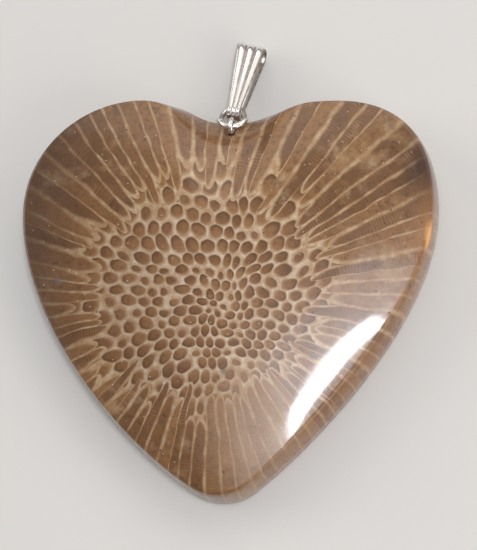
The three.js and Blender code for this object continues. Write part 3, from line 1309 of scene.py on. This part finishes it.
@dataclass
class Stone(Piece):
    """The heart-shaped cabochon: a flat back, a girdle, a bevel and a low dome, in millimetres.

    Attributes:
        outline: The heart seen from above.
        back_round: The radius of the rounded edge of the back.
        back_shares: How far out the rings of the back lie, as shares.
        girdle_top: How high the upright side reaches.
        bevel_top: How high the bevel reaches.
        bevel_width: How far the bevel leans in.
        bevel_power: How round the bevel is.
        crease_lean: How much of the bevel is a plain slope, from 0 to 1.
        low_right: Where the bevel is ground wider.
        low_right_width: How much wider it is there.
        notch: Where it is wider still and flatter.
        notch_width: How much wider it is there.
        notch_less_power: How much less round it is there.
        dome_top: The height of the dome.
        dome_centre_y: How far up the heart its top lies.
        dome_power: How flat its middle is.
        dome_round_radius: The radius of the circle that its rings turn into.
        dome_crowding: How much closer the rings stand at its foot.
        ripple: How far hand polishing leaves it off the true form.
        ripple_closeness: How many ripples there are to a millimetre.
        ripple_slice: Where in the endless noise they are cut from.
        ripple_sink: How far they are all moved down, as a share of the ripple's height.
        ripple_fades: How fast they fade away at the dome's foot and at its top.
        per_side: How many steps each half of the outline has.
        back_steps: How many steps the edge of the back has.
        girdle_steps: How many steps the upright side has.
        bevel_steps: How many steps the bevel has.
        dome_steps: How many steps the dome has.
        crease: The angle in degrees past which an edge stays sharp.
    """

    outline: HeartOutline = field(default_factory=HeartOutline)
    back_round: float = 0.6
    back_shares: tuple[float, ...] = (0.35, 0.7, 0.94)
    back_steps: int = 5
    girdle_top: float = 2.6
    girdle_steps: int = 3
    bevel_top: float = 5.8
    bevel_width: float = 0.6
    bevel_power: float = 2.4
    crease_lean: float = 0.12
    bevel_steps: int = 22
    low_right: Zone = Zone(-38.0, 62.0)
    low_right_width: float = 0.65
    notch: Zone = Zone(90.0, 24.0)
    notch_width: float = 3.4
    notch_less_power: float = 1.0
    dome_top: float = 7.7
    dome_centre_y: float = 1.0
    dome_power: float = 2.2
    dome_round_radius: float = 20.0
    dome_crowding: float = 1.25
    dome_steps: int = 46
    ripple: float = 0.02
    ripple_closeness: float = 0.16
    ripple_slice: float = 3.1
    ripple_sink: float = 0.6
    ripple_fades: tuple[float, float] = (6.0, 4.0)
    per_side: int = 360
    crease: float = 35.0

    def build(self, cutters: list[bpy.types.Object]) -> None:
        """Makes the stone and cuts the slot and hole for the eye pin.

        Args:
            cutters: The solids that are cut away, which are removed afterwards.
        """
        rings = self._rings()
        count = rings[0].shape[0]
        points = np.vstack(rings + [np.array([[0.0, 0.0, 0.0], [0.0, self.dome_centre_y, self.dome_top]])])
        faces = grid_faces(len(rings), count, False)
        back = len(rings) * count
        last = back - count
        for i in range(count):
            following = (i + 1) % count
            faces.append((back, following, i))
            faces.append((back + 1, last + i, last + following))
        self.shape = make_object("coral_heart", points, faces, self.crease)
        self._cut(cutters)
        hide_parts("stone")
        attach(self.shape, "pendant")

    def _rings(self) -> list[np.ndarray]:
        """The rings of points, from the middle of the back round to the dome's top.

        Returns:
            For each ring one row of x, y and z for each point.
        """
        edge = self.outline.points(self.per_side)
        along = np.roll(edge, -1, 0) - np.roll(edge, 1, 0)
        along /= np.linalg.norm(along, axis=1)[:, None]
        inward = np.stack([-along[:, 1], along[:, 0]], 1)
        headings = np.arctan2(edge[:, 1], edge[:, 0])
        in_notch = self.notch.nearness(headings)
        widths = self.bevel_width + self.low_right_width * self.low_right.nearness(headings)
        widths = widths + self.notch_width * in_notch
        powers = self.bevel_power - self.notch_less_power * in_notch

        def level(inset: Union[float, np.ndarray], height: Union[float, np.ndarray]) -> np.ndarray:
            """A ring of points at an inset and a height for each point of the edge."""
            flat = edge + inward * np.broadcast_to(inset, len(edge))[:, None]
            return np.column_stack([flat, np.broadcast_to(height, len(edge))])

        rings = [level(self.back_round, 0.0) * (share, share, 1.0) for share in self.back_shares]
        for turn in np.linspace(0.0, math.pi / 2.0, self.back_steps + 1):
            lift = self.back_round * (1.0 - math.cos(turn))
            rings.append(level(self.back_round * (1.0 - math.sin(turn)), lift))
        for height in np.linspace(self.back_round, self.girdle_top, self.girdle_steps + 1)[1:]:
            rings.append(level(0.0, height))
        for step in range(1, self.bevel_steps + 1):
            share = 1.0 - math.cos(math.pi / 2.0 * step / self.bevel_steps)
            rise = (1.0 - self.crease_lean) * (1.0 - (1.0 - share) ** powers) + self.crease_lean * share
            rings.append(level(widths * share, self.girdle_top + (self.bevel_top - self.girdle_top) * rise))
        return rings + self._dome(rings[-1])

    def _dome(self, foot: np.ndarray) -> list[np.ndarray]:
        """The rings of the dome, which turn round towards its top.

        Args:
            foot: The ring that it stands on.

        Returns:
            The rings above that one.
        """
        middle = np.array([0.0, self.dome_centre_y, self.bevel_top])
        spokes = foot - middle
        reach = np.linalg.norm(spokes, axis=1)
        rings = []
        at_foot, at_top = self.ripple_fades
        for step in range(1, self.dome_steps):
            share = 1.0 - (step / self.dome_steps) ** self.dome_crowding
            length = (reach + (self.dome_round_radius - reach) * (1.0 - share)) * share
            ring = middle + spokes * (length / reach)[:, None]
            rise = 1.0 - share**self.dome_power
            ring[:, 2] = self.bevel_top + (self.dome_top - self.bevel_top) * rise
            ring[:, 2] += self._ripple(ring) * min(1.0, at_foot * (1.0 - share), at_top * share)
            rings.append(ring)
        return rings

    def _ripple(self, ring: np.ndarray) -> np.ndarray:
        """How far hand polishing leaves each point off the true dome.

        Args:
            ring: One row of x, y and z for each point.

        Returns:
            How far each point is lifted, in millimetres.
        """
        places = ring[:, :2] * self.ripple_closeness
        lumps = np.array([noise.noise((x, y, self.ripple_slice)) for x, y in places])
        return self.ripple * (lumps - self.ripple_sink)

    def _cut(self, cutters: list[bpy.types.Object]) -> None:
        """Cuts solids out of the stone and removes them.

        Args:
            cutters: The solids.
        """
        for cutter in cutters:
            cut = self.shape.modifiers.new("cut", "BOOLEAN")
            cut.operation = "DIFFERENCE"
            cut.solver = "EXACT"
            cut.object = cutter
        graph = bpy.context.evaluated_depsgraph_get()
        whole = bpy.data.meshes.new_from_object(self.shape.evaluated_get(graph))
        self.shape.modifiers.clear()
        self.shape.data = whole
        smooth(whole, self.crease)
        for cutter in cutters:
            bpy.data.objects.remove(cutter)


@dataclass
class EyePin(Piece):
    """The small upright loop in the notch, on a shank glued into the stone, in millimetres.

    Attributes:
        loop_radius: The radius of the loop's middle line.
        wire: The radius of its wire.
        around: How many sections the loop has.
        sides: How many points go round the wire and the shank.
        shank_radius: The radius of the shank.
        shank_length: How far past the loop's middle line the shank reaches.
        shank_overlap: How far it reaches into the loop's wire.
        shank_slope: How far it slopes down into the stone, in degrees.
        shank_rows: How many rings of points it has.
        glue_gap: The gap for the glue, all round.
        cutter_sides: How many sides the cutters of the slot and of the hole have.
        crease: The angle in degrees past which an edge stays sharp.
    """

    loop_radius: float = 0.85
    wire: float = 0.28
    around: int = 96
    sides: int = 28
    shank_radius: float = 0.3
    shank_length: float = 4.5
    shank_overlap: float = 0.1
    shank_slope: float = 25.0
    shank_rows: int = 12
    glue_gap: float = 0.1
    cutter_sides: tuple[int, int] = (96, 40)
    crease: float = 50.0

    def cutters(self) -> list[bpy.types.Object]:
        """The solids of the slot and hole that the pin needs in the stone.

        Returns:
            The slot and the hole.
        """
        half_slot = self.wire + self.glue_gap
        far = self.loop_radius + self.shank_length + self.glue_gap
        solids = (
            ("slot_cutter", self.loop_radius + half_slot, (-half_slot, half_slot), self._upright()),
            ("hole_cutter", self.shank_radius + self.glue_gap, (self.loop_radius, far), self._down_shank()),
        )
        made = []
        for (name, radius, ends, turn), sides in zip(solids, self.cutter_sides):
            cutter = make_object(name, rod_points(radius, ends, sides), capped_faces(2, sides), self.crease)
            cutter.data.transform(self._at_eye(turn, MM))
            made.append(cutter)
        return made

    def build(self) -> None:
        """Makes the loop and its shank as one piece."""
        turns = np.linspace(0.0, FULL_TURN, self.around, endpoint=False)
        loop = ring_points(self.loop_radius, np.full(self.around, self.wire), turns, self.sides)
        loop = placed(loop, self._at_eye(self._upright()))
        start, end = self.loop_radius - self.shank_overlap, self.loop_radius + self.shank_length
        shank = rod_points(self.shank_radius, np.linspace(start, end, self.shank_rows), self.sides)
        shank = placed(shank, self._at_eye(self._down_shank()))
        faces = grid_faces(self.around, self.sides, True)
        for face in capped_faces(self.shank_rows, self.sides):
            faces.append(tuple(len(loop) + corner for corner in face))
        self.shape = make_object("silver_eye_pin", np.vstack([loop, shank]), faces, self.crease)
        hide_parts("eye_pin")
        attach(self.shape, "pendant")

    def _upright(self) -> Matrix:
        """Turns a level ring to stand in the plane of the notch."""
        return Matrix.Rotation(math.pi / 2.0, 4, "Y")

    def _down_shank(self) -> Matrix:
        """Turns +Z to the way that the shank runs down into the stone."""
        return Matrix.Rotation(math.pi / 2.0 + math.radians(self.shank_slope), 4, "X")

    def _at_eye(self, turn: Matrix, unit: float = 1.0) -> Matrix:
        """A turn about the eye's middle, in millimetres unless another unit is given."""
        return Matrix.Translation(hinge("ring_swing")[0] * unit) @ turn


@dataclass
class JumpRing(Piece):
    """The round ring through the eye, with the fine cut where it was closed, in millimetres.

    Attributes:
        radius: The radius of the wire's middle line.
        wire: The wire's own radius.
        droop: How far the ring leans down from level, in degrees.
        cut_at: Where round the ring the cut is, in degrees.
        cut_width: How wide the cut is.
        rounded_end: The wire's radius at the cut, as a share of the rest.
        around: How many sections the ring has.
        sides: How many points go round the wire.
        crease: The angle in degrees past which an edge stays sharp.
    """

    radius: float = 1.53
    wire: float = 0.37
    droop: float = 30.0
    cut_at: float = 205.0
    cut_width: float = 0.03
    rounded_end: float = 0.93
    around: int = 160
    sides: int = 32
    crease: float = 50.0

    def build(self) -> None:
        """Makes the ring."""
        half_cut = self.cut_width / self.radius / 2.0
        start = math.radians(self.cut_at) + half_cut
        turns = np.linspace(start, start + 2.0 * (math.pi - half_cut), self.around)
        wires = np.full(self.around, self.wire)
        wires[[0, -1]] *= self.rounded_end
        points = ring_points(self.radius, wires, turns, self.sides) + (0.0, self.radius, 0.0)
        tilt = Matrix.Rotation(-math.radians(self.droop), 4, "X")
        points = placed(points, Matrix.Translation(hinge("ring_swing")[0]) @ tilt)
        faces = capped_faces(self.around, self.sides)
        self.shape = make_object("silver_jump_ring", points, faces, self.crease)
        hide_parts("jump_ring")
        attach(self.shape, "ring")


@dataclass
class Bail(Piece):
    """One strip of sheet with three flutes, folded into a tapered loop, in millimetres.

    Attributes:
        sheet: The sheet's thickness.
        foot_radius: The radius of the narrow end, which holds the ring.
        top_radius: The radius of the wide end, which takes the chain.
        length: From the middle of one end to the middle of the other.
        foot_half_width: Half the strip's width at the foot.
        taper: How much wider each half gets for each millimetre up.
        flutes: How many flutes it has.
        flute_at_foot: How high the flutes stand at the narrow end.
        flute_at_top: How high they stand at the wide end.
        groove_round: How round the grooves between them are.
        groove_fade: How fast the groove's tarnish fades on the way up a flute.
        fold_skew: How far off square the strip is folded, in degrees.
        slack: How far the middle of the narrow end lies past the joint's axis.
        clear_of_floor: How far its wide end stays above the floor.
        rim_bulge: How round the sheet's edges are, as a share of its thickness.
        across: How many points the strip has across, on each face.
        edge_steps: How many points round off each edge of the sheet.
        top_steps: How many steps the wide end has.
        foot_steps: How many steps the narrow end has.
        leaf_steps: How many steps each leaf between them has.
        crease: The angle in degrees past which an edge stays sharp.
    """

    sheet: float = 0.3
    foot_radius: float = 1.08
    top_radius: float = 1.32
    length: float = 7.6
    foot_half_width: float = 0.74
    taper: float = 0.115
    flutes: int = 3
    flute_at_foot: float = 0.08
    flute_at_top: float = 0.25
    groove_round: float = 0.1
    groove_fade: float = 1.6
    fold_skew: float = 5.0
    slack: float = 0.26
    clear_of_floor: float = 0.03
    rim_bulge: float = 0.16
    across: int = 61
    edge_steps: int = 5
    top_steps: int = 48
    foot_steps: int = 32
    leaf_steps: int = 29
    crease: float = 60.0

    def build(self) -> None:
        """Makes the bail and marks the depth of its grooves for the finish."""
        places, outs = self._stations()
        share, lift, depth, bulge = self._section()
        up = np.clip(places[:, 0] / (self.length + self.top_radius), 0.0, 1.0)[:, None]
        half = self.foot_half_width + self.taper * np.maximum(places[:, :1], 0.0)
        flute = self.flute_at_foot + (self.flute_at_top - self.flute_at_foot) * up
        raised = flute * lift - self.sheet * depth
        x = half * share + self.sheet * bulge
        skew = x * math.tan(math.radians(self.fold_skew)) * up
        y = places[:, :1] + outs[:, :1] * raised - skew - self.slack
        z = places[:, 1:] + outs[:, 1:] * raised
        points = placed(np.stack([x, y, z], -1).reshape(-1, 3), self._place())
        faces = grid_faces(len(places), len(share), True)
        self.shape = make_object("silver_bail", points, faces, self.crease)
        groove = np.tile(np.clip(1.0 - self.groove_fade * lift, 0.0, 1.0), len(places))
        mark = self.shape.data.attributes.new("groove", "FLOAT", "POINT")
        mark.data.foreach_set("value", groove.astype(np.float32))
        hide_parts("bail")
        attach(self.shape, "bail")

    def _section(self) -> np.ndarray:
        """The outline of the sheet, cut across.

        Returns:
            Four rows with a column for each point: its place across the width from -1 to 1, its
            height up the flutes and its depth in the sheet from 0 to 1, and how far it bulges
            past the edge.
        """
        shares = np.linspace(-1.0, 1.0, self.across)
        ridge = np.abs(np.cos(self.flutes * math.pi * shares / 2.0))
        ridge = np.sqrt(ridge**2 + self.groove_round**2) - self.groove_round * (1.0 - ridge)
        turns = np.linspace(0.0, math.pi, self.edge_steps + 2)[1:-1]
        rim = [(1.0, ridge[-1], 0.5 - 0.5 * math.cos(t), self.rim_bulge * math.sin(t)) for t in turns]
        section = [(share, lift, 0.0, 0.0) for share, lift in zip(shares, ridge)]
        section += rim
        section += [(share, lift, 1.0, 0.0) for share, lift in zip(shares[::-1], ridge[::-1])]
        section += [(-1.0, lift, depth, -bulge) for _, lift, depth, bulge in rim[::-1]]
        return np.array(section).T

    def _stations(self) -> tuple[np.ndarray, np.ndarray]:
        """The stations round the side of the loop.

        Returns:
            For each station its place up the bail and out of its front, and the way out there.
        """
        lean = math.asin((self.top_radius - self.foot_radius) / self.length)

        def arc(centre: float, radius: float, start: float, end: float, steps: int) -> tuple:
            """The stations round one end of the loop.

            Args:
                centre: How far up the bail the end's middle lies.
                radius: The end's radius.
                start: The first station's angle from straight out of the front, in radians.
                end: The last station's angle.
                steps: How many steps there are between them.

            Returns:
                For each station its place up the bail and out of its front, and the way out there.
            """
            angle = np.linspace(start, end, steps + 1)
            out = np.stack([np.sin(angle), np.cos(angle)], 1)
            return out * radius + (centre, 0.0), out

        top, top_out = arc(self.length, self.top_radius, -lean, math.pi + lean, self.top_steps)
        foot, foot_out = arc(0.0, self.foot_radius, math.pi + lean, FULL_TURN - lean, self.foot_steps)
        leaf = np.linspace(0.0, 1.0, self.leaf_steps + 1)[1:-1, None]
        back = top[-1] * (1.0 - leaf) + foot[0] * leaf
        front = foot[-1] * (1.0 - leaf) + top[0] * leaf
        back_out, front_out = (np.repeat(out[-1:], len(leaf), 0) for out in (top_out, foot_out))
        return np.vstack([top, back, foot, front]), np.vstack([top_out, back_out, foot_out, front_out])

    def _place(self) -> Matrix:
        """Where the bail lies: on the ring's wire, with its wide end on the floor.

        Returns:
            The matrix that puts it there, in millimetres.
        """
        seat, axis = hinge("bail_swing")
        crest = self.top_radius + self.flute_at_top + self.clear_of_floor
        droop = math.asin((seat.z - crest) / (self.length - self.slack))
        yaw = math.atan2(axis.y, axis.x)
        return Matrix.Translation(seat) @ Matrix.Rotation(yaw, 4, "Z") @ Matrix.Rotation(-droop, 4, "X")


# ---- the studio ----


class Tint(Enum):
    """The colours of the studio's lights."""

    DAYLIGHT = srgb(248, 250, 255)
    SKY = srgb(228, 238, 255)
    SOFT_BOX = srgb(255, 250, 244)


@dataclass(frozen=True)
class Lamp:
    """A soft light, placed by where it hangs over the stone.

    Attributes:
        name: What it does.
        heading: Its heading from the stone in degrees, counter-clockwise from +X.
        tilt: How far it leans from straight overhead, in degrees.
        distance: Its distance in metres.
        size: Its width and height in metres.
        watts: Its power.
        tint: Its colour.
        long_side: The heading of its width, in degrees.
    """

    name: str
    heading: float
    tilt: float
    distance: float
    size: tuple[float, float]
    watts: float
    tint: Tint
    long_side: float

    def hang(self, target: Vector) -> None:
        """Makes the light and points it at the stone.

        Args:
            target: The point that it lights, in metres.
        """
        data = bpy.data.lights.new(self.name, "AREA")
        data.shape = "RECTANGLE"
        data.size, data.size_y = self.size
        data.energy = self.watts
        data.color = self.tint.value[:3]
        light = bpy.data.objects.new(self.name, data)
        away = toward(self.heading, self.tilt)
        side = toward(self.long_side)
        side = (side - away * side.dot(away)).normalized()
        turn = Matrix((side, away.cross(side), away)).transposed().to_4x4()
        light.matrix_world = Matrix.Translation(target + away * self.distance) @ turn
        bpy.context.scene.collection.objects.link(light)


@dataclass
class Studio:
    """The floor, the lights, the grey surround and the camera.

    Attributes:
        aim: The point that the camera looks at, in millimetres.
        camera_heading: Where it stands, in degrees counter-clockwise from +X.
        camera_tilt: How far it leans from straight overhead, in degrees.
        camera_distance: Its distance from the point, in millimetres.
        up_hint: The way that it holds as up.
        lens: Its focal length, in millimetres.
        sensor: The width of its sensor, in millimetres.
        nearest: How near it still sees, in metres.
        floor_half: Half the floor's width, in millimetres.
        surround: The colour of the even light of the room.
        surround_strength: How strong that light is.
        lit_height: How far above the floor the lights aim, in millimetres.
        lamps: The lights.
    """

    aim: Triple = (1.007, 3.127, 0.0)
    camera_heading: float = -53.32
    camera_tilt: float = 16.0
    camera_distance: float = 221.0
    up_hint: Triple = (-0.02933, 0.99957, 0.0)
    lens: float = 120.0
    sensor: float = 36.0
    nearest: float = 0.01
    floor_half: float = 600.0
    surround: Colour = srgb(150, 150, 152)
    surround_strength: float = 0.6
    lit_height: float = 4.0
    lamps: tuple[Lamp, ...] = (
        Lamp("window", -22.0, 14.1, 0.45, (0.084, 0.032), 0.68, Tint.DAYLIGHT, 48.0),
        Lamp("curtain", 6.0, 9.5, 0.47, (0.14, 0.11), 0.18, Tint.SKY, 48.0),
        Lamp("top_box", 85.0, 47.0, 0.7, (0.8, 0.45), 1.5, Tint.SOFT_BOX, 175.0),
        Lamp("left_box", 165.0, 68.0, 0.7, (0.5, 0.45), 1.74, Tint.SOFT_BOX, 75.0),
        Lamp("right_box", -30.0, 67.0, 0.7, (0.5, 0.4), 1.75, Tint.SOFT_BOX, 60.0),
        Lamp("corner_box", 24.0, 56.0, 0.7, (0.4, 0.4), 0.6, Tint.SOFT_BOX, 114.0),
    )

    def clear(self) -> None:
        """Removes what a new scene starts with."""
        for name in ("Cube", "Light", "Camera"):
            leftover = bpy.data.objects.get(name)
            if leftover is not None:
                bpy.data.objects.remove(leftover)

    def build(self) -> None:
        """Makes the camera, floor, lights and surround."""
        self._camera()
        self._floor()
        for lamp in self.lamps:
            lamp.hang(Vector((0.0, 0.0, self.lit_height * MM)))
        self._surround()

    def _camera(self) -> None:
        """Makes the camera, looking down on the pendant."""
        back = toward(self.camera_heading, self.camera_tilt)
        hint = Vector(self.up_hint)
        up = (hint - back * hint.dot(back)).normalized()
        data = bpy.data.cameras.new("camera")
        data.lens = self.lens
        data.sensor_width = self.sensor
        data.clip_start = self.nearest
        camera = bpy.data.objects.new("camera", data)
        turn = Matrix((up.cross(back), up, back)).transposed().to_4x4()
        camera.matrix_world = Matrix.Translation((Vector(self.aim) + back * self.camera_distance) * MM) @ turn
        bpy.context.scene.collection.objects.link(camera)
        bpy.context.scene.camera = camera
        bpy.context.scene.view_settings.view_transform = "Standard"

    def _floor(self) -> None:
        """Lays the pale card that the pendant lies on."""
        corners = np.array([[-1.0, -1.0, 0.0], [1.0, -1.0, 0.0], [1.0, 1.0, 0.0], [-1.0, 1.0, 0.0]])
        floor = make_object("floor", corners * self.floor_half, [(0, 1, 2, 3)])
        floor.data.materials.append(FloorFinish().material())

    def _surround(self) -> None:
        """Fills the room with even grey light."""
        world = bpy.data.worlds.new("surround")
        world.use_nodes = True
        world.node_tree.nodes.clear()
        bench = Bench(world.node_tree)
        light = {"Color": self.surround, "Strength": self.surround_strength}
        bench.add("OutputWorld", {"Surface": bench.add("Background", light)[0]})
        bpy.context.scene.world = world


def main() -> None:
    """Builds the pendant and its studio, in order."""
    logging.basicConfig(level=logging.INFO, format="%(name)s: %(message)s")
    studio = Studio()
    studio.clear()
    studio.build()

    marks = polish_marks_group()
    coral = CoralFinish().material(marks, short_corallites_group(), long_corallites_group())
    silver = SilverFinish().material(marks)

    pin = EyePin()
    stone = Stone()
    stone.build(pin.cutters())
    stone.dress(coral)
    stone.report()
    for fitting in (pin, JumpRing(), Bail()):
        fitting.build()
        fitting.dress(silver)
        fitting.report()


if __name__ == "__main__":
    main()
